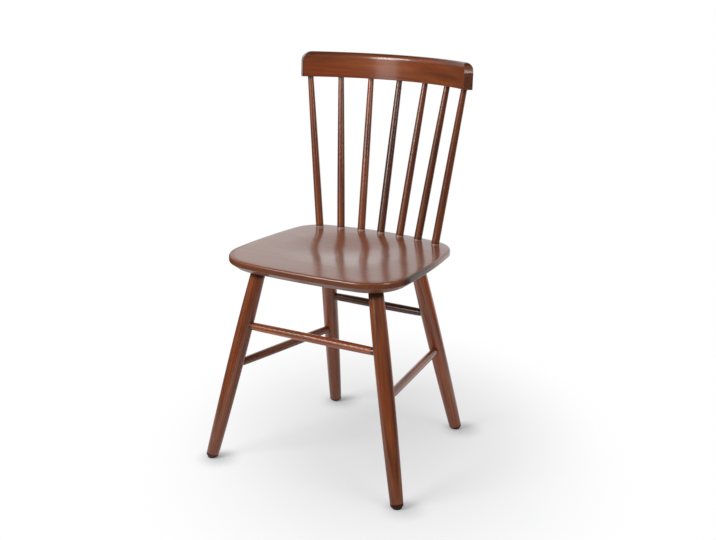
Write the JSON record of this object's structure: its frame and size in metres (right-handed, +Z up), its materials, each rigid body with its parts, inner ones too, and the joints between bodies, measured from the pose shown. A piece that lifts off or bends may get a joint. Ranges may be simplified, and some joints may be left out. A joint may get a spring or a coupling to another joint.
{
  "type": "spindle-back bistro chair",
  "caption": "Wooden bistro chair with a bowed crest rail on fanned spindles, a dished solid seat and splayed turned legs tied by stretchers.",
  "frame": {"origin": "on the floor, under the middle of the whole chair's box", "axes": "+Z up, the chair faces -Y, +X is to the right of someone who faces the front of the chair"},
  "size_m": [0.4802, 0.4364, 0.8363],
  "materials": {
    "seat_wood": "stained hardwood under a satin lacquer",
    "crest_wood": "stained hardwood under a satin lacquer",
    "turned_wood": "stained turned hardwood under a satin lacquer",
    "glide_plastic": "moulded, matt",
    "nail_steel": "zinc plated"
  },
  "bodies": {
    "root": {"seat": "seat_wood", "leg_front_left": "turned_wood", "leg_front_right": "turned_wood", "leg_back_left": "turned_wood", "leg_back_right": "turned_wood", "stretcher_front": "turned_wood", "stretcher_back": "turned_wood", "stretcher_left": "turned_wood", "stretcher_right": "turned_wood", "spindle_1": "turned_wood", "spindle_2": "turned_wood", "spindle_3": "turned_wood", "spindle_4": "turned_wood", "spindle_5": "turned_wood", "spindle_6": "turned_wood", "spindle_7": "turned_wood", "crest_rail": "crest_wood", "glide_front_left": "glide_plastic", "glide_front_right": "glide_plastic", "glide_back_left": "glide_plastic", "glide_back_right": "glide_plastic", "glide_nails": "nail_steel"}
  },
  "joints": []
}
